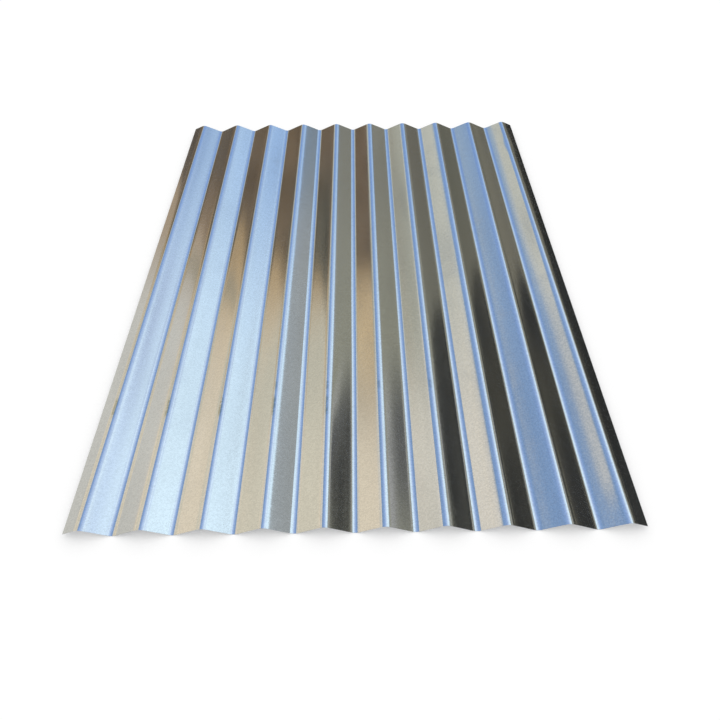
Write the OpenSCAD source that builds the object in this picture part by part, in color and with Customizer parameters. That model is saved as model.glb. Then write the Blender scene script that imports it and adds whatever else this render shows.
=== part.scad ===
// Corrugated galvanised steel sheet, roll formed from one flat strip.
// Millimetres. +X runs across the waves, +Y along them and +Z up.
// The origin is under the middle valley, halfway along the sheet, on the plane that the valleys rest on.

/* [Sheet] */
// Length of the sheet along its waves
sheet_length = 914.4; // [300:0.1:3660]
// Thickness of the steel with its zinc coat
sheet_thickness = 0.4; // [0.3:0.01:1.2]

/* [Waves] */
// Distance from one crest to the next
wave_pitch = 67.73; // [50:0.01:130]
// Height of a crest above a valley, measured on one face
wave_depth = 12.7; // [8:0.1:22]
// Radius of the crest and valley bends, at the middle of the thickness
bend_radius = 11; // [4:0.1:16]
// Number of crests across the sheet
crest_count = 10; // [2:1:24]
// Reach of each lap edge past the centre line of the outer crest
lap_reach = 19.05; // [10:0.05:24]

/* [Drawing] */
// Turning steps in each bend: an even number lays one flat along every crest and valley line
bend_steps = 12; // [4:2:24]

/* [Hidden] */

zinc_colour = [0.72, 0.76, 0.81];

half_pitch = wave_pitch / 2;
half_thickness = sheet_thickness / 2;
bend_count = 2 * crest_count - 1;

// Crest and valley bends have their centres this far above and below the middle plane
bend_offset = wave_depth / 2 - bend_radius;
middle_height = wave_depth / 2 + half_thickness;

// Slope of the straight flanks, which touch a crest bend and a valley bend on opposite sides
centre_distance = norm([half_pitch, 2 * bend_offset]);
flank_angle = atan2(2 * bend_offset, half_pitch) + asin(2 * bend_radius / centre_distance);
step_angle = 2 * flank_angle / bend_steps;

// Straight length of the outer flank, from the bend to the free edge
lap_flank = (lap_reach - bend_radius * sin(flank_angle)) / cos(flank_angle);

// Bends are counted from the left: the even ones are crests (1) and the odd ones are valleys (-1)
function bend_sense(bend) = bend % 2 == 0 ? 1 : -1;
function bend_x(bend) = (bend - (bend_count - 1) / 2) * half_pitch;

// Corners of one bend on one face of the sheet, from left to right.
// The flats between them touch the true arc. The face is 1 for the top of the sheet and -1 for its underside.
function bend_corners(bend, face) =
    let (
        sense = bend_sense(bend),
        radius = bend_radius + sense * face * half_thickness,
        corner_radius = radius / cos(step_angle / 2),
        centre_z = middle_height + sense * bend_offset
    )
    [
        for (step = [0.5 : bend_steps])
            let (angle = step * step_angle - flank_angle)
            [
                bend_x(bend) + corner_radius * sin(angle),
                centre_z + sense * corner_radius * cos(angle)
            ]
    ];

// Corner of a free edge on one face, cut square to the outer flank. The side is -1 for left and 1 for right.
function edge_corner(side, face) =
    let (
        normal = [side * sin(flank_angle), cos(flank_angle)],
        downhill = [side * cos(flank_angle), -sin(flank_angle)],
        crest_centre = [side * bend_x(bend_count - 1), middle_height + bend_offset]
    )
    crest_centre + (bend_radius + face * half_thickness) * normal + lap_flank * downhill;

// One face of the section, from the left edge to the right edge
function face_outline(face) = [
    edge_corner(-1, face),
    for (bend = [0 : bend_count - 1]) each bend_corners(bend, face),
    edge_corner(1, face)
];

function reversed(points) = [for (i = [len(points) - 1 : -1 : 0]) points[i]];

module wave_section() {
    polygon(concat(face_outline(1), reversed(face_outline(-1))));
}

module corrugated_sheet() {
    color(zinc_colour)
        rotate([90, 0, 0])
            linear_extrude(height = sheet_length, center = true)
                wave_section();
}

corrugated_sheet();
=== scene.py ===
"""Dresses the corrugated galvanised steel sheet.

The sheet is rolled up from one strip, gets its zinc finish and stands in a plain studio.
"""

import logging
import math
from dataclasses import dataclass, field
from enum import Enum
from typing import Iterable, Optional, Sequence, Union

import bmesh
import bpy
from mathutils import Matrix, Vector


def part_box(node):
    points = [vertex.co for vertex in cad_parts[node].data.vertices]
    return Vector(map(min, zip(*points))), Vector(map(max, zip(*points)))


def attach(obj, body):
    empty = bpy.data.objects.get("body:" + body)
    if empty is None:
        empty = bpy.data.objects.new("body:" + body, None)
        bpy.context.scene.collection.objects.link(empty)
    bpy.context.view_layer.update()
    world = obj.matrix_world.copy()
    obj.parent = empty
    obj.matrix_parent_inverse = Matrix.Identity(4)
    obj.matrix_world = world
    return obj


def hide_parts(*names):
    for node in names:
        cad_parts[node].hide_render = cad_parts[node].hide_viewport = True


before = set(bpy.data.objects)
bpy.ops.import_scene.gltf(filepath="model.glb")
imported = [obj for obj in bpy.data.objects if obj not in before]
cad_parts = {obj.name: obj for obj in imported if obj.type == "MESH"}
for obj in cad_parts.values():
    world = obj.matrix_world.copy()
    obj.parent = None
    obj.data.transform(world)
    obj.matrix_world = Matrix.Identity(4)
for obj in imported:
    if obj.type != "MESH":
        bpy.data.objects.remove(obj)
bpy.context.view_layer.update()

log = logging.getLogger("corrugated_sheet")

Rgb = tuple[float, float, float]
Socket = bpy.types.NodeSocket
Value = Union[float, Socket]
Colour = Union[Rgb, Socket]

NODE = "corrugated_sheet"
BODY = "root"
MM = 0.001

PITCH = 67.73 * MM
LAP_REACH = 19.05 * MM
CREST_COUNT = 10
THICKNESS = 0.4 * MM
WELD = 0.01 * MM
SMOOTH_ANGLE = math.radians(30.0)


class Bend(Enum):
    """The two kinds of bend in the section, with the side of the sheet that they stand towards."""

    CREST = 1
    VALLEY = -1


class Bench:
    """Adds, sets and links the nodes of one node tree."""

    def __init__(self, tree: bpy.types.NodeTree) -> None:
        """Start with an empty tree."""
        self.tree = tree
        tree.nodes.clear()

    def add(self, kind: str, **settings: object) -> bpy.types.Node:
        """Add a node.

        Args:
            kind: The node's type name.
            settings: Properties to set on the node.

        Returns:
            The new node.
        """
        node = self.tree.nodes.new(kind)
        for name, value in settings.items():
            setattr(node, name, value)
        return node

    def feed(self, socket: Socket, value: Union[float, Sequence[float], Socket]) -> None:
        """Link a socket to another one, or set it to a plain value.

        Args:
            socket: The input to feed.
            value: An output to link, a number or a colour.
        """
        if isinstance(value, bpy.types.NodeSocket):
            self.tree.links.new(value, socket)
        elif isinstance(value, (int, float)):
            socket.default_value = value
        elif len(socket.default_value) == len(value):
            socket.default_value = value
        else:
            socket.default_value = (*value, 1.0)

    def math(self, operation: str, first: Value, second: Value = 0.0) -> Socket:
        """Take one step of arithmetic.

        Args:
            operation: The step's name.
            first: The first value.
            second: The second value, for a step that takes two.

        Returns:
            The result.
        """
        node = self.add("ShaderNodeMath", operation=operation)
        self.feed(node.inputs[0], first)
        self.feed(node.inputs[1], second)
        return node.outputs[0]

    def rise(self, value: Value, low: float, high: float, bottom: float = 0.0, top: float = 1.0) -> Socket:
        """Map a value smoothly from one range to another.

        Args:
            value: What to map.
            low: The value that gives bottom.
            high: The value that gives top.
            bottom: The result at and below low.
            top: The result at and above high.

        Returns:
            The mapped value.
        """
        node = self.add("ShaderNodeMapRange", interpolation_type="SMOOTHSTEP")
        self.feed(node.inputs["Value"], value)
        self.feed(node.inputs["From Min"], low)
        self.feed(node.inputs["From Max"], high)
        self.feed(node.inputs["To Min"], bottom)
        self.feed(node.inputs["To Max"], top)
        return node.outputs["Result"]

    def blend(self, share: Value, under: Colour, over: Colour, how: str = "MIX") -> Socket:
        """Lay one colour over another.

        Args:
            share: How much of the upper colour shows.
            under: The lower colour.
            over: The upper colour.
            how: The blend mode.

        Returns:
            The blended colour.
        """
        node = self.add("ShaderNodeMix", data_type="RGBA", blend_type=how)
        self.feed(node.inputs["Factor"], share)
        self.feed(node.inputs["A"], under)
        self.feed(node.inputs["B"], over)
        return node.outputs["Result"]

    def noise(self, place: Socket, scale: float, detail: float = 2.0, roughness: float = 0.5) -> Socket:
        """Make clouds.

        Args:
            place: Where to look.
            scale: Clouds in each unit of length.
            detail: Number of finer layers.
            roughness: Strength of each finer layer, as a share of the one before.

        Returns:
            A cloudy value between 0 and 1.
        """
        node = self.add("ShaderNodeTexNoise")
        self.feed(node.inputs["Vector"], place)
        self.feed(node.inputs["Scale"], scale)
        self.feed(node.inputs["Detail"], detail)
        self.feed(node.inputs["Roughness"], roughness)
        return node.outputs["Fac"]

    def stretched(self, place: Socket, scale: Sequence[float]) -> Socket:
        """Scale a place by its own amount along each axis.

        Args:
            place: The place.
            scale: The amounts along x, y and z.

        Returns:
            The scaled place.
        """
        node = self.add("ShaderNodeMapping", vector_type="POINT")
        self.feed(node.inputs["Vector"], place)
        self.feed(node.inputs["Scale"], scale)
        return node.outputs["Vector"]

    def axes(self, place: Socket) -> Sequence[Socket]:
        """Split a place.

        Args:
            place: The place.

        Returns:
            Its x, y and z.
        """
        node = self.add("ShaderNodeSeparateXYZ")
        self.feed(node.inputs["Vector"], place)
        return node.outputs

    def channels(self, colour: Socket) -> Sequence[Socket]:
        """Split a colour.

        Args:
            colour: The colour.

        Returns:
            Its red, green and blue.
        """
        node = self.add("ShaderNodeSeparateColor")
        self.feed(node.inputs["Color"], colour)
        return node.outputs

    def vector(self, operation: str, *values: Union[Sequence[float], Socket]) -> Socket:
        """Take one step of arithmetic on vectors.

        Args:
            operation: The step's name.
            values: The vectors that it takes.

        Returns:
            The result.
        """
        node = self.add("ShaderNodeVectorMath", operation=operation)
        for socket, value in zip(node.inputs, values):
            self.feed(socket, value)
        return node.outputs["Vector"]

    def clouded(self, colour: Colour, clouds: Socket, uneven: float) -> Socket:
        """Make a colour uneven.

        Args:
            colour: The even colour.
            clouds: A cloudy value between 0 and 1.
            uneven: How far the brightness varies, as a share.

        Returns:
            The uneven colour.
        """
        shade = self.rise(clouds, 0.3, 0.7, 1.0 - uneven, 1.0 + uneven)
        return self.blend(1.0, colour, shade, "MULTIPLY")


def deselect_all() -> None:
    """Leave nothing selected, so that an operator acts on its own piece alone."""
    bpy.ops.object.select_all(action="DESELECT")


def activate(piece: bpy.types.Object) -> None:
    """Make a piece the only selected and the active object.

    Args:
        piece: The piece.
    """
    deselect_all()
    piece.select_set(True)
    bpy.context.view_layer.objects.active = piece


@dataclass(frozen=True)
class Lead:
    """One of the gentler turns that ease a bend into its flanks.

    Attributes:
        radius: Its radius, at the middle of the thickness, in metres.
        turn: Angle that it turns through.
        steps: Strips around it.
    """

    radius: float
    turn: float
    steps: int


@dataclass(frozen=True)
class BendShape:
    """One kind of bend: a tight core, and on each side the leads that ease it into the flanks.

    Attributes:
        core_radius: Radius of the core, at the middle of the thickness, in metres.
        core_steps: Strips around the core.
        leads: The leads on each side, from the core outwards.
    """

    core_radius: float
    core_steps: int
    leads: tuple[Lead, ...]

    @property
    def lead_turn(self) -> float:
        """Angle that the leads on one side turn through."""
        return sum(lead.turn for lead in self.leads)

    @property
    def stand_off(self) -> float:
        """Work out the bend's part in the balance that sets the flanks' slope.

        Returns:
            The length that it adds.
        """
        left = self.lead_turn
        total = self.core_radius * math.cos(left)
        for lead in self.leads:
            total += lead.radius * (math.cos(left - lead.turn) - math.cos(left))
            left -= lead.turn
        return total

    def reach(self, slope: float) -> float:
        """Work out half the bend's width.

        Args:
            slope: Slope of the flanks on its sides.

        Returns:
            The distance across from its middle to a flank.
        """
        angle = slope - self.lead_turn
        total = self.core_radius * math.sin(angle)
        for lead in self.leads:
            total += lead.radius * (math.sin(angle + lead.turn) - math.sin(angle))
            angle += lead.turn
        return total

    def drop(self, slope: float) -> float:
        """Work out the bend's height.

        Args:
            slope: Slope of the flanks on its sides.

        Returns:
            The difference in height between its middle and a flank.
        """
        angle = slope - self.lead_turn
        total = self.core_radius * (1.0 - math.cos(angle))
        for lead in self.leads:
            total += lead.radius * (math.cos(angle) - math.cos(angle + lead.turn))
            angle += lead.turn
        return total


TIGHT_LEAD = Lead(radius=23.5 * MM, turn=math.radians(10.0), steps=4)
CROWNED_LEAD = Lead(radius=780.0 * MM, turn=math.radians(0.95), steps=6)
VALLEY_LEAD = Lead(radius=20.0 * MM, turn=math.radians(9.0), steps=4)

SHAPES: dict[Bend, BendShape] = {
    Bend.CREST: BendShape(core_radius=9.4 * MM, core_steps=10, leads=(TIGHT_LEAD, CROWNED_LEAD)),
    Bend.VALLEY: BendShape(core_radius=9.7 * MM, core_steps=10, leads=(VALLEY_LEAD,)),
}


@dataclass(frozen=True)
class Arc:
    """One stretch of a bend, as a turn about a centre.

    Attributes:
        centre: Where the turn has its centre.
        angle: How far it turns.
        steps: Strips around it.
    """

    centre: Vector
    angle: float
    steps: int


@dataclass(frozen=True)
class WaveSection:
    """The sheet's section at the middle of its thickness, in metres.

    Attributes:
        pitch: Distance from one crest to the next.
        depth: Height of a crest above a valley.
        lap_reach: Reach of each lap edge past the outer crest.
        crest_count: Number of crests.
        middle: Height of the middle plane above the floor.
        shapes: The shape of each kind of bend.
    """

    pitch: float
    depth: float
    lap_reach: float
    crest_count: int
    middle: float
    shapes: dict[Bend, BendShape]

    @property
    def half_pitch(self) -> float:
        """Distance from a crest to the next valley."""
        return self.pitch / 2

    @property
    def bend_count(self) -> int:
        """Number of crests and valleys."""
        return 2 * self.crest_count - 1

    @property
    def flank_angle(self) -> float:
        """Work out the straight flanks, which touch a crest and a valley on opposite sides.

        Returns:
            Their slope.
        """
        balance = sum(shape.stand_off for shape in self.shapes.values())
        spare = sum(shape.core_radius for shape in self.shapes.values()) - self.depth
        return math.asin(balance / math.hypot(self.half_pitch, spare)) - math.atan2(spare, self.half_pitch)

    @property
    def flank_length(self) -> float:
        """Straight length of a flank between two bends."""
        bends = sum(shape.reach(self.flank_angle) for shape in self.shapes.values())
        return (self.half_pitch - bends) / math.cos(self.flank_angle)

    @property
    def lap_length(self) -> float:
        """Straight length of the outer flanks, from the bend to the free edge."""
        bend = self.shapes[Bend.CREST].reach(self.flank_angle)
        return (self.lap_reach - bend) / math.cos(self.flank_angle)

    def sense(self, bend: int) -> Bend:
        """Say whether a bend, counted from the left, is a crest or a valley."""
        return Bend.CREST if bend % 2 == 0 else Bend.VALLEY

    def apex(self, bend: int) -> Vector:
        """Return the top of a crest or the bottom of a valley, counted from the left."""
        x = (bend - (self.bend_count - 1) / 2) * self.half_pitch
        return Vector((x, 0.0, self.middle + self.sense(bend).value * self.depth / 2))

    def bend_start(self, bend: int) -> Vector:
        """Find the left end of a bend.

        Args:
            bend: The bend, counted from the left.

        Returns:
            The point where its left flank ends.
        """
        sense = self.sense(bend)
        shape = self.shapes[sense]
        slope = self.flank_angle
        return self.apex(bend) - Vector((shape.reach(slope), 0.0, sense.value * shape.drop(slope)))

    def arcs(self, bend: int) -> list[Arc]:
        """Lay out a bend's core and the leads on both sides of it.

        Args:
            bend: The bend, counted from the left.

        Returns:
            The turns, from left to right.
        """
        sense = self.sense(bend)
        shape = self.shapes[sense]
        centre = self.apex(bend) - Vector((0.0, 0.0, sense.value * shape.core_radius))
        radius = shape.core_radius
        slope = self.flank_angle - shape.lead_turn
        arcs = [Arc(centre, -sense.value * 2.0 * slope, shape.core_steps)]
        across = 0.0
        below = 0.0
        for lead in shape.leads:
            across += (lead.radius - radius) * math.sin(slope)
            below += (lead.radius - radius) * math.cos(slope) * sense.value
            turn = -sense.value * lead.turn
            arcs.insert(0, Arc(centre + Vector((across, 0.0, -below)), turn, lead.steps))
            arcs.append(Arc(centre + Vector((-across, 0.0, -below)), turn, lead.steps))
            slope += lead.turn
            radius = lead.radius
        return arcs

    def flank_run(self, sense: Bend, length: float) -> Vector:
        """Return the way along a flank to the right of a bend: down from a crest, up from a valley."""
        slope = self.flank_angle
        return Vector((length * math.cos(slope), 0.0, -sense.value * length * math.sin(slope)))


@dataclass(frozen=True)
class CrestMarkLine:
    """A line of short dark marks across the crests, which darken the coat's colour.

    Attributes:
        first: The first crest that is marked, counted from the left.
        last: The last crest that is marked.
        place: Where the line lies along the waves, in metres.
        reach: Half the length of each mark, in metres.
        strength: How much of the mark shows, as a share.
    """

    first: int
    last: int
    place: float
    reach: float
    strength: float

    def mask(self, bench: Bench, place: Socket, section: WaveSection) -> Socket:
        """Mark the line out.

        Args:
            bench: The finish's nodes.
            place: Where to look.
            section: The sheet's section.

        Returns:
            How much of each point lies in the line.
        """
        across, along, _ = bench.axes(place)
        off = bench.math("ABSOLUTE", bench.math("SUBTRACT", along, self.place))
        near = bench.rise(off, 0.5 * self.reach, self.reach, self.strength, 0.0)
        left = section.apex(2 * self.first).x - section.half_pitch
        right = section.apex(2 * self.last).x + section.half_pitch
        past_left = bench.math("GREATER_THAN", across, left)
        before_right = bench.math("LESS_THAN", across, right)
        return bench.math("MULTIPLY", near, bench.math("MULTIPLY", past_left, before_right))


CREST_MARKS: tuple[CrestMarkLine, ...] = (
    CrestMarkLine(first=0, last=4, place=-284.0 * MM, reach=19.0 * MM, strength=1.0),
    CrestMarkLine(first=3, last=6, place=-250.0 * MM, reach=9.0 * MM, strength=0.6),
)


@dataclass(frozen=True)
class FlankLean:
    """The slight extra lean of one flank where the sheet is sprung, in degrees, positive to the right.

    Attributes:
        bend: The bend on the flank's left, counted from the left.
        near: Leans at the near end of the waves, beside the left bend and beside the right bend.
        change: Where along the waves the near leans start to give way to the far ones, and where they have.
        far: Leans at the far end.
        ease: Half the width of the bends, over which the lean comes and goes, in metres.
    """

    bend: int
    near: tuple[float, float]
    change: tuple[float, float]
    far: tuple[float, float] = (0.0, 0.0)
    ease: float = 5.5 * MM

    def angle(self, bench: Bench, place: Socket, section: WaveSection) -> Socket:
        """Work out the lean.

        Args:
            bench: The finish's nodes.
            place: Where to look.
            section: The sheet's section.

        Returns:
            How far the surface leans at each point, in radians.
        """
        across, along, _ = bench.axes(place)
        left = section.apex(self.bend).x
        right = section.apex(self.bend + 1).x
        start = left + self.ease
        end = right - self.ease
        sides = [
            bench.rise(along, *self.change, math.radians(near), math.radians(far))
            for near, far in zip(self.near, self.far)
        ]
        gain = bench.math("SUBTRACT", sides[1], sides[0])
        lean = bench.math("ADD", sides[0], bench.math("MULTIPLY", bench.rise(across, start, end), gain))
        comes = bench.rise(across, left, start)
        goes = bench.rise(across, end, right, 1.0, 0.0)
        return bench.math("MULTIPLY", lean, bench.math("MULTIPLY", comes, goes))


LEANS: tuple[FlankLean, ...] = (
    FlankLean(bend=8, near=(5.6, 0.0), change=(-400.0 * MM, -150.0 * MM)),
    FlankLean(bend=8, near=(0.0, 4.1), change=(-330.0 * MM, -20.0 * MM)),
    FlankLean(bend=17, near=(-2.35, -5.0), change=(-150.0 * MM, 250.0 * MM), far=(-2.75, -6.6)),
    FlankLean(bend=17, near=(0.0, 1.6), change=(-480.0 * MM, -385.0 * MM)),
)


@dataclass(frozen=True)
class GalvanisedFinish:
    """Bright hot-dip zinc with a fine spangle, lengthwise rolling lines, light smudges and short dark marks
    across the crests.

    Attributes:
        section: The sheet's section, with a valley in the middle of the sheet.
        zinc: Reflectance of the clean coat.
        dull_share: Reflectance of the dullest crystals, as a share of the clean coat's.
        grain_tint: Reflectance of the fine grain between the crystals.
        smudge_tint: Reflectance of a smudge.
        crest_mark_tint: Reflectance of a dark mark across a crest.
        roughness: Roughness of the clean coat.
        film_roughness: Roughness of the dull film.
        haze: How much of that film the dullest crystals have.
        spangle: Width of a zinc crystal.
        spangle_tilt: How far the crystals lean away from the sheet's own surface.
        line_depth: Height of the rolling lines.
        line_scale: Rolling lines in a metre along each axis.
        streak_scale: Dull streaks in a metre along each axis.
        crest_marks: The lines of dark marks across the crests.
        leans: The flanks that lean.
    """

    section: WaveSection
    zinc: Rgb = (0.75, 0.78, 0.81)
    dull_share: float = 0.87
    grain_tint: Rgb = (0.45, 0.47, 0.50)
    smudge_tint: Rgb = (0.42, 0.44, 0.48)
    crest_mark_tint: Rgb = (0.38, 0.40, 0.33)
    roughness: float = 0.08
    film_roughness: float = 0.4
    haze: float = 1.0
    spangle: float = 1.5 * MM
    spangle_tilt: float = 0.003
    line_depth: float = 0.004 * MM
    line_scale: tuple[float, float, float] = (300.0, 1.2, 300.0)
    streak_scale: tuple[float, float, float] = (420.0, 2.5, 420.0)
    crest_marks: tuple[CrestMarkLine, ...] = CREST_MARKS
    leans: tuple[FlankLean, ...] = LEANS

    def material(self) -> bpy.types.Material:
        """Build the zinc coat.

        Returns:
            The material, on Object coordinates.
        """
        coat = bpy.data.materials.new("galvanised_steel_finish")
        coat.use_nodes = True
        bench = Bench(coat.node_tree)
        place = bench.add("ShaderNodeTexCoord").outputs["Object"]
        shader = bench.add("ShaderNodeBsdfPrincipled")
        bench.feed(shader.inputs["Metallic"], 1.0)
        bench.feed(shader.inputs["Coat Roughness"], self.film_roughness)
        crystal = self.crystals(bench, place)
        smudge = bench.rise(bench.noise(place, scale=11.0, detail=5.0, roughness=0.6), 0.52, 0.72)
        crest_mark = self.marked_crests(bench, place)
        bench.feed(shader.inputs["Base Color"], self.colour(bench, place, crystal, smudge, crest_mark))
        bench.feed(shader.inputs["Roughness"], self.gloss(bench, place, crystal, smudge))
        bench.feed(shader.inputs["Normal"], self.relief(bench, place, crystal))
        bench.feed(shader.inputs["Coat Weight"], self.film(bench, place, crystal))
        output = bench.add("ShaderNodeOutputMaterial")
        bench.feed(output.inputs["Surface"], shader.outputs["BSDF"])
        return coat

    def crystals(self, bench: Bench, place: Socket) -> Socket:
        """Lay out the zinc crystals.

        Args:
            bench: The finish's nodes.
            place: Where to look.

        Returns:
            A random colour for each crystal.
        """
        cells = bench.add("ShaderNodeTexVoronoi", voronoi_dimensions="3D", feature="F1")
        bench.feed(cells.inputs["Vector"], place)
        bench.feed(cells.inputs["Scale"], 1.0 / self.spangle)
        return cells.outputs["Color"]

    def marked_crests(self, bench: Bench, place: Socket) -> Socket:
        """Darken the left shoulders of the crests, in short lines across the waves.

        Args:
            bench: The finish's nodes.
            place: Where to look.

        Returns:
            How much each point is darkened.
        """
        pitch = self.section.pitch
        in_wave = bench.math("FRACT", bench.math("DIVIDE", bench.axes(place)[0], pitch))
        from_crest = bench.math("MULTIPLY", bench.math("SUBTRACT", in_wave, 0.5), pitch)
        comes = bench.rise(from_crest, -4.2 * MM, -2.6 * MM)
        goes = bench.rise(from_crest, -0.5 * MM, 1.5 * MM, 1.0, 0.0)
        patchy = bench.rise(bench.noise(place, scale=160.0, detail=3.0, roughness=0.6), 0.32, 0.54)
        lines: Value = 0.0
        for crest_mark in self.crest_marks:
            lines = bench.math("MAXIMUM", crest_mark.mask(bench, place, self.section), lines)
        shoulder = bench.math("MULTIPLY", comes, goes)
        return bench.math("MULTIPLY", shoulder, bench.math("MULTIPLY", patchy, lines))

    def colour(self, bench: Bench, place: Socket, crystal: Socket, smudge: Socket, crest_mark: Socket) -> Socket:
        """Vary the coat's colour by its crystals, its grain, its smudges and its dark crest marks.

        Args:
            bench: The finish's nodes.
            place: Where to look.
            crystal: A random colour for each crystal.
            smudge: How much each point is smudged.
            crest_mark: How much each point is darkened by a crest mark.

        Returns:
            The coat's reflectance.
        """
        dull = tuple(self.dull_share * part for part in self.zinc)
        speckled = bench.blend(bench.channels(crystal)[0], self.zinc, dull)
        grain = bench.rise(bench.noise(place, scale=900.0), 0.3, 0.7, bottom=0.0, top=0.07)
        grained = bench.blend(grain, speckled, self.grain_tint)
        smudged = bench.blend(bench.math("MULTIPLY", smudge, 0.1), grained, self.smudge_tint)
        # Darker colour on the crests' left shoulders, in short lines across the waves.
        return bench.blend(bench.math("MULTIPLY", crest_mark, 0.75), smudged, self.crest_mark_tint)

    def gloss(self, bench: Bench, place: Socket, crystal: Socket, smudge: Socket) -> Socket:
        """Vary the coat's gloss by its crystals, its dull streaks and its smudges.

        Args:
            bench: The finish's nodes.
            place: Where to look.
            crystal: A random colour for each crystal.
            smudge: How much each point is smudged.

        Returns:
            The coat's roughness.
        """
        streaks = bench.noise(bench.stretched(place, self.streak_scale), scale=1.0, detail=3.0)
        dull = bench.math("MULTIPLY", bench.math("POWER", bench.channels(crystal)[1], 3.0), 0.03)
        rough = bench.math("ADD", dull, bench.rise(streaks, 0.4, 0.75, bottom=0.0, top=0.02))
        rough = bench.math("ADD", rough, bench.math("MULTIPLY", smudge, 0.03))
        return bench.math("ADD", rough, self.roughness)

    def film(self, bench: Bench, place: Socket, crystal: Socket) -> Socket:
        """Lay a dull film on some crystals, in soft patches.

        Args:
            bench: The finish's nodes.
            place: Where to look.
            crystal: A random colour for each crystal.

        Returns:
            How much of the film each point has.
        """
        clouds = bench.noise(place, scale=260.0, detail=3.0, roughness=0.6)
        patches = bench.rise(clouds, 0.35, 0.65, bottom=0.2, top=self.haze)
        return bench.math("MULTIPLY", bench.math("POWER", bench.channels(crystal)[2], 2.0), patches)

    def relief(self, bench: Bench, place: Socket, crystal: Socket) -> Socket:
        """Turn the surface by its rolling lines, its leaning crystals and its leaning flanks.

        Args:
            bench: The finish's nodes.
            place: Where to look.
            crystal: A random colour for each crystal.

        Returns:
            The direction that each point faces.
        """
        lines = bench.noise(bench.stretched(place, self.line_scale), scale=1.0)
        bump = bench.add("ShaderNodeBump")
        bench.feed(bump.inputs["Strength"], 1.0)
        bench.feed(bump.inputs["Distance"], self.line_depth)
        bench.feed(bump.inputs["Height"], lines)
        tip = bench.vector("MULTIPLY_ADD", crystal, (self.spangle_tilt,) * 3, (-self.spangle_tilt / 2,) * 3)
        tilted = bench.vector("NORMALIZE", bench.vector("ADD", bump.outputs["Normal"], tip))
        angle: Value = 0.0
        for lean in self.leans:
            angle = bench.math("ADD", lean.angle(bench, place, self.section), angle)
        turned = bench.add("ShaderNodeVectorRotate", rotation_type="Y_AXIS")
        bench.feed(turned.inputs["Vector"], tilted)
        bench.feed(turned.inputs["Angle"], angle)
        return turned.outputs["Vector"]


@dataclass(frozen=True)
class Dent:
    """A shallow dent along a crest, in metres.

    Attributes:
        crest: The crest that is dented, counted from the left.
        place: Where its middle lies along the waves.
        width: Half the width that is pressed in.
        reach: Half the length that is pressed in.
        soft: How far the pressing fades out around it.
        depth: How deep it is.
        push: How far it is pushed to the right.
    """

    crest: int = 9
    place: float = 371.0 * MM
    width: float = 0.5 * MM
    reach: float = 16.0 * MM
    soft: float = 9.0 * MM
    depth: float = 0.3 * MM
    push: float = 0.2 * MM


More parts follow.
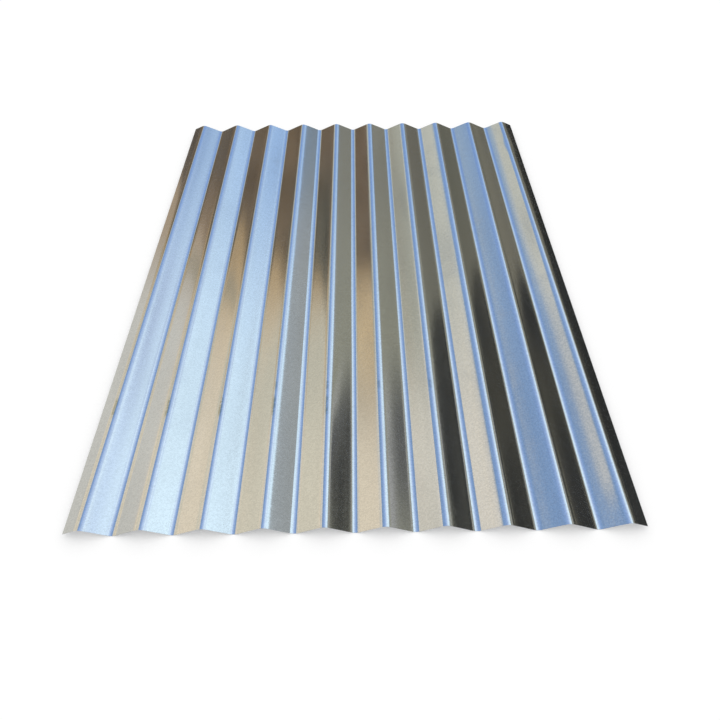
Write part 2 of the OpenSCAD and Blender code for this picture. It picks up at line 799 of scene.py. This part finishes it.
@dataclass
class CorrugatedSheet:
    """The roll-formed sheet, modelled from one flat strip as the rolls form it.

    Attributes:
        section: The sheet's section.
        length: Length along the waves.
        thickness: Thickness of the coated steel.
        flank_cuts: Cuts across each flank.
        length_cuts: Cuts along the sheet.
        ripple: Height of the slow ripples that rolling leaves in the flanks.
        ripple_size: Width of a ripple across the waves.
        ripple_stretch: How much longer than wide a ripple is.
        dent: The small dent in the right crest.
    """

    section: WaveSection
    length: float
    thickness: float
    flank_cuts: int = 3
    length_cuts: int = 71
    ripple: float = 0.15 * MM
    ripple_size: float = 90.0 * MM
    ripple_stretch: float = 5.0
    dent: Dent = field(default_factory=Dent)

    def build(self) -> bpy.types.Object:
        """Model the sheet and dress it.

        Returns:
            The finished piece, in place of the CAD node.
        """
        piece = self.lay_first_flank()
        self.roll_waves()
        self.divide(piece)
        self.press_dent(piece)
        bpy.ops.object.mode_set(mode="OBJECT")
        self.ripple_flanks(piece)
        self.thicken(piece)
        self.dress(piece)
        return piece

    def lay_first_flank(self) -> bpy.types.Object:
        """Lay a flat strip as the left lap edge and stay in edit mode with its right edge selected.

        Returns:
            The new piece.
        """
        section = self.section
        deselect_all()
        bpy.ops.mesh.primitive_plane_add(size=1.0, location=(0.0, 0.0, 0.0))
        piece = bpy.context.active_object
        piece.name = "galvanised_corrugated_sheet"
        run = section.flank_run(Bend.VALLEY, section.lap_length)
        right_edge = section.bend_start(0)
        bpy.ops.object.mode_set(mode="EDIT")
        bpy.ops.mesh.select_mode(type="EDGE")
        bpy.ops.transform.resize(value=(section.lap_length, self.length, 1.0))
        mesh = bmesh.from_edit_mesh(piece.data)
        for vertex in mesh.verts:
            along = vertex.co.x / section.lap_length - 0.5
            vertex.co.x = right_edge.x + along * run.x
            vertex.co.z = right_edge.z + along * run.z
        inner = right_edge.x - WELD
        self.select_edges(mesh, (edge for edge in mesh.edges if min(v.co.x for v in edge.verts) > inner))
        bmesh.update_edit_mesh(piece.data)
        return piece

    def select_edges(self, mesh: bmesh.types.BMesh, wanted: Iterable[bmesh.types.BMEdge]) -> None:
        """Select these edges of the mesh and nothing else.

        Args:
            mesh: The mesh in edit mode.
            wanted: The edges to select.
        """
        chosen = list(wanted)
        for face in mesh.faces:
            face.select_set(False)
        for edge in mesh.edges:
            edge.select_set(False)
        for edge in chosen:
            edge.select_set(True)

    def roll_waves(self) -> None:
        """Spin each bend about its centres and draw each flank straight on from it, from left to right."""
        section = self.section
        last = section.bend_count - 1
        for bend in range(section.bend_count):
            sense = section.sense(bend)
            for arc in section.arcs(bend):
                bpy.ops.mesh.spin(steps=arc.steps, angle=arc.angle, center=arc.centre, axis=(0.0, 1.0, 0.0))
            length = section.lap_length if bend == last else section.flank_length
            run = section.flank_run(sense, length)
            bpy.ops.mesh.extrude_edges_move(TRANSFORM_OT_translate={"value": run})

    def divide(self, piece: bpy.types.Object) -> None:
        """Cut the flanks across and the whole sheet along, and point the faces up.

        Args:
            piece: The sheet in edit mode.
        """
        # Only the flanks between two bends are this long.
        shortest = 0.9 * self.section.flank_length
        mesh = bmesh.from_edit_mesh(piece.data)
        across = [edge for edge in mesh.edges if self.runs_across(edge)]
        self.select_edges(mesh, [edge for edge in across if edge.calc_length() > shortest])
        bpy.ops.mesh.subdivide(number_cuts=self.flank_cuts)
        mesh = bmesh.from_edit_mesh(piece.data)
        self.select_edges(mesh, [edge for edge in mesh.edges if not self.runs_across(edge)])
        bpy.ops.mesh.subdivide(number_cuts=self.length_cuts)
        bpy.ops.mesh.select_all(action="SELECT")
        bpy.ops.mesh.remove_doubles(threshold=WELD)
        mesh = bmesh.from_edit_mesh(piece.data)
        mesh.normal_update()
        if sum(face.normal.z for face in mesh.faces) < 0.0:
            bpy.ops.mesh.flip_normals()

    def runs_across(self, edge: bmesh.types.BMEdge) -> bool:
        """Say whether an edge runs across the waves."""
        first, second = edge.verts
        return abs(first.co.y - second.co.y) < MM

    def press_dent(self, piece: bpy.types.Object) -> None:
        """Press the dent into its crest.

        Args:
            piece: The sheet in edit mode.
        """
        dent = self.dent
        apex = self.section.apex(2 * dent.crest)
        bpy.ops.mesh.select_mode(type="VERT")
        bpy.ops.mesh.select_all(action="DESELECT")
        mesh = bmesh.from_edit_mesh(piece.data)
        for vertex in mesh.verts:
            across = abs(vertex.co.x - apex.x)
            along = abs(vertex.co.y - dent.place)
            vertex.select_set(across < dent.width and along < dent.reach)
        bmesh.update_edit_mesh(piece.data)
        bpy.ops.transform.translate(
            value=(dent.push, 0.0, -dent.depth),
            use_proportional_edit=True,
            proportional_edit_falloff="SMOOTH",
            proportional_size=dent.soft,
        )

    def ripple_flanks(self, piece: bpy.types.Object) -> None:
        """Give the sheet the slow lengthwise ripples that the rolls leave.

        Args:
            piece: The sheet as a single skin.
        """
        bpy.ops.object.empty_add(location=(0.0, 0.0, 0.0))
        guide = bpy.context.active_object
        guide.scale = (1.0, self.ripple_stretch, 1.0)
        bpy.context.view_layer.update()
        clouds = bpy.data.textures.new("rolling_ripple", type="CLOUDS")
        clouds.noise_scale = self.ripple_size
        activate(piece)
        wave = piece.modifiers.new("ripple", "DISPLACE")
        wave.texture = clouds
        wave.texture_coords = "OBJECT"
        wave.texture_coords_object = guide
        wave.strength = self.ripple
        wave.mid_level = 0.5
        bpy.ops.object.modifier_apply(modifier=wave.name)
        bpy.data.objects.remove(guide)
        bpy.data.textures.remove(clouds)

    def thicken(self, piece: bpy.types.Object) -> None:
        """Give the skin its thickness and smooth its bends.

        Args:
            piece: The sheet as a single skin.
        """
        activate(piece)
        wall = piece.modifiers.new("thickness", "SOLIDIFY")
        wall.thickness = self.thickness
        wall.offset = 0.0
        wall.use_even_offset = True
        bpy.ops.object.modifier_apply(modifier=wall.name)
        bpy.ops.object.shade_smooth_by_angle(angle=SMOOTH_ANGLE)

    def dress(self, piece: bpy.types.Object) -> None:
        """Give the sheet its finish and tie it to the frame.

        Args:
            piece: The finished mesh.
        """
        piece.data.materials.clear()
        piece.data.materials.append(GalvanisedFinish(self.section).material())
        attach(piece, BODY)
        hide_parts(NODE)


@dataclass(frozen=True)
class DomeStop:
    """One stop of the dome's tint, which changes smoothly from stop to stop across the waves.

    Attributes:
        angle: Angle from straight up, in degrees, with left negative.
        near: The dome's brightness there at the near end of the waves.
        far: Its brightness at the far end.
    """

    angle: float
    near: Rgb
    far: Rgb


@dataclass(frozen=True)
class StudioCard:
    """One tinted card of the dome that the metal mirrors, in a band that runs along the waves.

    Attributes:
        name: What the card is.
        left: Angle of its left side from straight up, in degrees, with left negative.
        right: Angle of its right side.
        near: Its brightness at the near end.
        far: Its brightness at the far end, where that differs.
        turn: Run along the waves at which near gives way to far, as a share of the dome's radius there.
        spread: Half the run over which that change happens.
        start: Run at which the card starts, at its left side.
        end: Run at which it ends, at its left side.
        blur: Softness of its sides, in degrees.
        end_blur: Softness of its ends.
        skew: Run by which its ends move on for each degree to the right.
        uneven: How far its brightness varies, as a share.
        waver: How far its ends waver, as a share of that.
    """

    name: str
    left: float
    right: float
    near: Rgb
    far: Optional[Rgb] = None
    turn: float = 1.2
    spread: float = 0.6
    start: float = -1.0
    end: float = 50.0
    blur: float = 0.7
    end_blur: float = 0.06
    skew: float = 0.0
    uneven: float = 0.0
    waver: float = 0.8

    def paint(self, bench: Bench, under: Socket, angle: Socket, run: Socket, cloth: Socket) -> Socket:
        """Lay the card over the dome.

        Args:
            bench: The world's nodes.
            under: The dome so far.
            angle: Angle of a direction from straight up, across the waves.
            run: Run of a direction along the waves.
            cloth: A cloudy value between 0 and 1 in each direction.

        Returns:
            The dome with the card in front.
        """
        past_left = bench.math("SUBTRACT", angle, self.left)
        along = bench.math("SUBTRACT", run, bench.math("MULTIPLY", past_left, self.skew))
        if self.uneven > 0.0:
            wave = bench.math("SUBTRACT", cloth, 0.5)
            along = bench.math("ADD", along, bench.math("MULTIPLY", wave, self.waver * self.uneven))
        from_left = bench.rise(angle, self.left - self.blur, self.left + self.blur)
        to_right = bench.rise(angle, self.right - self.blur, self.right + self.blur, 1.0, 0.0)
        from_start = bench.rise(along, self.start - self.end_blur, self.start + self.end_blur)
        to_end = bench.rise(along, self.end - self.end_blur, self.end + self.end_blur, 1.0, 0.0)
        band = bench.math("MULTIPLY", from_left, to_right)
        share = bench.math("MULTIPLY", band, bench.math("MULTIPLY", from_start, to_end))
        way = bench.rise(run, self.turn - self.spread, self.turn + self.spread)
        tint = bench.blend(way, self.near, self.far or self.near)
        if self.uneven > 0.0:
            tint = bench.clouded(tint, cloth, self.uneven)
        return bench.blend(share, under, tint)


DOME: tuple[DomeStop, ...] = (
    DomeStop(-33.0, (0.25, 0.39, 0.62), (0.36, 0.49, 0.65)),
    DomeStop(-20.0, (0.29, 0.44, 0.73), (0.27, 0.42, 0.74)),
    DomeStop(-5.0, (0.42, 0.57, 0.90), (0.28, 0.44, 0.80)),
    DomeStop(10.0, (0.66, 0.82, 1.08), (0.33, 0.50, 0.86)),
    DomeStop(19.0, (0.96, 1.14, 1.28), (0.40, 0.56, 0.84)),
    DomeStop(22.5, (0.79, 0.96, 1.18), (0.38, 0.54, 0.81)),
    DomeStop(26.0, (0.97, 1.17, 1.28), (0.54, 0.74, 1.01)),
    DomeStop(35.0, (0.95, 1.15, 1.27), (0.42, 0.62, 0.95)),
)

CARDS: tuple[StudioCard, ...] = (
    StudioCard("blue_streak", 21.6, 23.8, (0.56, 0.67, 0.88), (0.5, 0.63, 0.86),
               start=0.75, end=1.15, end_blur=0.15),
    StudioCard("grey_card", 36.2, 90.0, (0.42, 0.44, 0.44), (0.26, 0.32, 0.38),
               turn=1.5, spread=0.35, blur=0.35, uneven=0.06),
    StudioCard("olive_card", 41.8, 90.0, (0.37, 0.36, 0.275), (0.28, 0.27, 0.22), uneven=0.04),
    StudioCard("low_olive_card", 53.6, 90.0, (0.24, 0.23, 0.175), (0.18, 0.165, 0.13)),
    StudioCard("dim_olive_card", 59.2, 64.8, (0.20, 0.185, 0.14), (0.15, 0.145, 0.11)),
    StudioCard("olive_strip", 64.8, 70.0, (0.26, 0.235, 0.175), (0.225, 0.21, 0.16)),
    StudioCard("ash_card", 47.0, 50.4, (0.46, 0.45, 0.43), (0.42, 0.41, 0.36), end=0.85, end_blur=0.15),
    StudioCard("shade_card", 50.5, 54.5, (0.11, 0.11, 0.11), start=0.56, end=0.88, blur=1.7, end_blur=0.14),
    StudioCard("first_black_card", 54.6, 59.0, (0.04, 0.04, 0.038), end=1.0, skew=0.03, uneven=0.3),
    StudioCard("second_black_card", 60.3, 64.6, (0.035, 0.035, 0.033),
               end=1.08, skew=0.03, end_blur=0.05, uneven=0.1),
    StudioCard("third_black_card", 65.8, 90.0, (0.04, 0.04, 0.038), end=1.04, skew=0.03, uneven=0.3),
    StudioCard("dark_olive_card", 59.2, 70.0, (0.075, 0.07, 0.055),
               start=0.68, end=0.9, end_blur=0.1, uneven=0.3),
    StudioCard("low_black_card", 70.1, 90.0, (0.035, 0.035, 0.033), (0.02, 0.02, 0.019),
               blur=0.5, uneven=0.3),
    StudioCard("pale_card", -37.2, -32.3, (0.96, 0.86, 0.71), (0.70, 0.68, 0.57),
               turn=0.95, spread=0.45, blur=1.0, uneven=0.05),
    StudioCard("silver_card", -32.5, -31.3, (0.52, 0.55, 0.57), (0.70, 0.69, 0.62),
               turn=1.0, spread=0.1, start=0.2, end=1.45, blur=0.25, end_blur=0.25),
    StudioCard("pale_smudge", -36.2, -33.5, (0.54, 0.53, 0.47), start=1.22, end=1.34),
    StudioCard("sage_card", -43.0, -37.2, (0.80, 0.74, 0.62), (0.48, 0.47, 0.38),
               turn=0.88, spread=0.2, uneven=0.08),
    StudioCard("sage_smudge", -41.2, -39.0, (0.34, 0.34, 0.29), start=1.44, end=1.58),
    StudioCard("sand_card", -67.1, -43.0, (0.94, 0.80, 0.60), (0.58, 0.41, 0.22),
               turn=1.0, spread=0.28, uneven=0.06),
    StudioCard("tan_card", -49.0, -43.0, (0.64, 0.53, 0.38), (0.71, 0.52, 0.29),
               turn=0.9, spread=0.16, start=0.76, end=1.08, end_blur=0.12, uneven=0.12),
    StudioCard("grey_sand_card", -60.5, -49.0, (0.84, 0.76, 0.59), (0.70, 0.65, 0.51),
               turn=0.75, spread=0.2, end=0.95, end_blur=0.15, skew=0.017, uneven=0.06),
    StudioCard("stone_card", -90.0, -67.1, (0.73, 0.70, 0.625), (0.50, 0.38, 0.26),
               turn=1.12, spread=0.2, uneven=0.05),
    StudioCard("olive_smudge", -71.0, -61.2, (0.40, 0.35, 0.25),
               start=1.15, end=1.22, skew=-0.01, end_blur=0.05, uneven=0.12),
    StudioCard("first_brown_card", -90.0, -71.0, (0.16, 0.12, 0.09), (0.14, 0.115, 0.09),
               start=2.0, skew=-0.035, uneven=0.35),
    StudioCard("second_brown_card", -71.0, -66.0, (0.25, 0.18, 0.12), (0.13, 0.105, 0.08),
               turn=1.5, spread=0.15, start=1.37, skew=-0.035, uneven=0.25),
    StudioCard("third_brown_card", -66.0, -60.5, (0.15, 0.12, 0.09), (0.165, 0.12, 0.08),
               start=1.41, skew=-0.035, end_blur=0.09, uneven=0.35),
    StudioCard("fourth_brown_card", -60.5, -54.8, (0.16, 0.135, 0.1), (0.19, 0.135, 0.085),
               start=1.32, skew=-0.035, end_blur=0.09, uneven=0.35),
    StudioCard("fifth_brown_card", -54.8, -49.0, (0.12, 0.115, 0.09), (0.19, 0.14, 0.095),
               turn=1.65, spread=0.2, start=1.27, skew=-0.035, end_blur=0.1, uneven=0.35),
    StudioCard("sixth_brown_card", -49.0, -43.0, (0.18, 0.145, 0.105), (0.18, 0.125, 0.08),
               start=1.22, uneven=0.3),
)


@dataclass(frozen=True)
class StudioWorld:
    """White light all round, and for the metal to mirror a blue dome with tinted cards.

    Attributes:
        light: Plain white light on everything.
        stops: The dome's tint across the waves, from left to right.
        turn: Run along the waves at which the dome's near tint gives way to its far one.
        spread: Half the run over which that change happens.
        cards: The cards in front of the dome.
        uneven: How far the dome's brightness varies, as a share.
        cloud_width: Width of the clouds in an uneven card or dome, in degrees.
        cloud_length: Their length, as a run along the waves.
    """

    light: Rgb = (1.0, 1.0, 1.0)
    stops: tuple[DomeStop, ...] = DOME
    turn: float = 1.15
    spread: float = 0.65
    cards: tuple[StudioCard, ...] = CARDS
    uneven: float = 0.05
    cloud_width: float = 3.0
    cloud_length: float = 0.3

    def build(self) -> bpy.types.World:
        """Make the world and put it in the scene.

        Returns:
            The world.
        """
        world = bpy.data.worlds.new("studio_world")
        world.use_nodes = True
        # The metal finds the dome by its own reflections, so the world needs no map of its bright parts.
        world.cycles.sampling_method = "NONE"
        bench = Bench(world.node_tree)
        mirrored = self.mirrored(bench)
        glossy = bench.add("ShaderNodeLightPath").outputs["Is Glossy Ray"]
        background = bench.add("ShaderNodeBackground")
        bench.feed(background.inputs["Color"], bench.blend(glossy, self.light, mirrored))
        output = bench.add("ShaderNodeOutputWorld")
        bench.feed(output.inputs["Surface"], background.outputs["Background"])
        bpy.context.scene.world = world
        return world

    def mirrored(self, bench: Bench) -> Socket:
        """Put the dome and the cards around the metal.

        Args:
            bench: The world's nodes.

        Returns:
            What the metal sees in each direction.
        """
        across, along, up = bench.axes(bench.add("ShaderNodeTexCoord").outputs["Generated"])
        angle = bench.math("DEGREES", bench.math("ARCTAN2", across, up))
        squares = bench.math("ADD", bench.math("MULTIPLY", across, across), bench.math("MULTIPLY", up, up))
        # Straight along the waves the radius would be nil, which nothing can be divided by.
        radius = bench.math("MAXIMUM", bench.math("SQRT", squares), 0.001)
        run = bench.math("ABSOLUTE", bench.math("DIVIDE", along, radius))
        spot = bench.add("ShaderNodeCombineXYZ")
        bench.feed(spot.inputs["X"], bench.math("DIVIDE", angle, self.cloud_width))
        bench.feed(spot.inputs["Y"], bench.math("DIVIDE", run, self.cloud_length))
        cloth = bench.noise(spot.outputs["Vector"], scale=1.0, detail=3.0)
        seen = bench.clouded(self.dome(bench, angle, run), cloth, self.uneven)
        for card in self.cards:
            seen = card.paint(bench, seen, angle, run, cloth)
        return seen

    def dome(self, bench: Bench, angle: Socket, run: Socket) -> Socket:
        """Tint the dome from stop to stop.

        Args:
            bench: The world's nodes.
            angle: Angle of a direction from straight up, across the waves.
            run: Run of a direction along the waves.

        Returns:
            The dome's brightness.
        """
        first = self.stops[0]
        near: Colour = first.near
        far: Colour = first.far
        for last, stop in zip(self.stops, self.stops[1:]):
            share = bench.rise(angle, last.angle, stop.angle)
            near = bench.blend(share, near, stop.near)
            far = bench.blend(share, far, stop.far)
        return bench.blend(bench.rise(run, self.turn - self.spread, self.turn + self.spread), near, far)


@dataclass(frozen=True)
class StudioFloor:
    """A plain pale floor that keeps the sheet's shadow.

    Attributes:
        size: Length of its sides.
        gap: Gap between it and the sheet.
        shade: Its own colour.
        lift: Brightness that only the camera sees, which takes the lit floor up to white.
    """

    size: float = 12.0
    gap: float = 0.1 * MM
    shade: float = 0.8
    lift: float = 0.22

    def build(self) -> bpy.types.Object:
        """Lay the floor just under the sheet.

        Returns:
            The floor.
        """
        deselect_all()
        bpy.ops.mesh.primitive_plane_add(size=self.size, location=(0.0, 0.0, -self.gap))
        floor = bpy.context.active_object
        floor.name = "studio_floor"
        floor.data.materials.append(self.material())
        return floor

    def material(self) -> bpy.types.Material:
        """Build the floor's plain matt finish.

        Returns:
            The material.
        """
        paint = bpy.data.materials.new("studio_floor_finish")
        paint.use_nodes = True
        bench = Bench(paint.node_tree)
        matt = bench.add("ShaderNodeBsdfDiffuse")
        bench.feed(matt.inputs["Color"], (self.shade,) * 3)
        glow = bench.add("ShaderNodeEmission")
        seen = bench.add("ShaderNodeLightPath").outputs["Is Camera Ray"]
        bench.feed(glow.inputs["Strength"], bench.math("MULTIPLY", seen, self.lift))
        both = bench.add("ShaderNodeAddShader")
        bench.feed(both.inputs[0], matt.outputs["BSDF"])
        bench.feed(both.inputs[1], glow.outputs["Emission"])
        output = bench.add("ShaderNodeOutputMaterial")
        bench.feed(output.inputs["Surface"], both.outputs["Shader"])
        return paint


@dataclass(frozen=True)
class ViewCamera:
    """A camera at the photograph's place.

    Attributes:
        place: Where it stands.
        pitch: How far it looks down, in degrees.
        roll: How far it leans to the left, in degrees.
        lens: Its focal length, in millimetres.
        sensor: Width of its sensor, in millimetres.
    """

    place: tuple[float, float, float] = (0.0080, -0.8130, 0.6625)
    pitch: float = 46.95
    roll: float = -0.78
    lens: float = 32.68
    sensor: float = 36.0

    def build(self) -> bpy.types.Object:
        """Make the camera and put it in the scene.

        Returns:
            The camera.
        """
        data = bpy.data.cameras.new("view_camera")
        data.sensor_fit = "HORIZONTAL"
        data.sensor_width = self.sensor
        data.lens = self.lens
        camera = bpy.data.objects.new("view_camera", data)
        aim = Matrix.Rotation(math.radians(90.0 - self.pitch), 4, "X")
        lean = Matrix.Rotation(math.radians(self.roll), 4, "Z")
        camera.matrix_world = Matrix.Translation(self.place) @ aim @ lean
        bpy.context.scene.collection.objects.link(camera)
        bpy.context.scene.camera = camera
        return camera


def main() -> None:
    """Build the sheet and its studio, and report each piece."""
    logging.basicConfig(level=logging.INFO, format="%(name)s: %(message)s")
    low, high = (Vector(corner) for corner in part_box(NODE))
    section = WaveSection(
        pitch=PITCH,
        depth=high.z - low.z - THICKNESS,
        lap_reach=LAP_REACH,
        crest_count=CREST_COUNT,
        middle=(high.z + low.z) / 2,
        shapes=SHAPES,
    )
    sheet = CorrugatedSheet(section, length=high.y - low.y, thickness=THICKNESS).build()
    log.info("%s: %d faces", sheet.name, len(sheet.data.polygons))
    floor = StudioFloor().build()
    log.info("%s: %.1f m square", floor.name, floor.dimensions.x)
    world = StudioWorld().build()
    log.info("%s: %d cards", world.name, len(CARDS))
    camera = ViewCamera().build()
    log.info("%s: %.1f mm lens", camera.name, camera.data.lens)
    bpy.context.scene.view_settings.view_transform = "Standard"


if __name__ == "__main__":
    main()
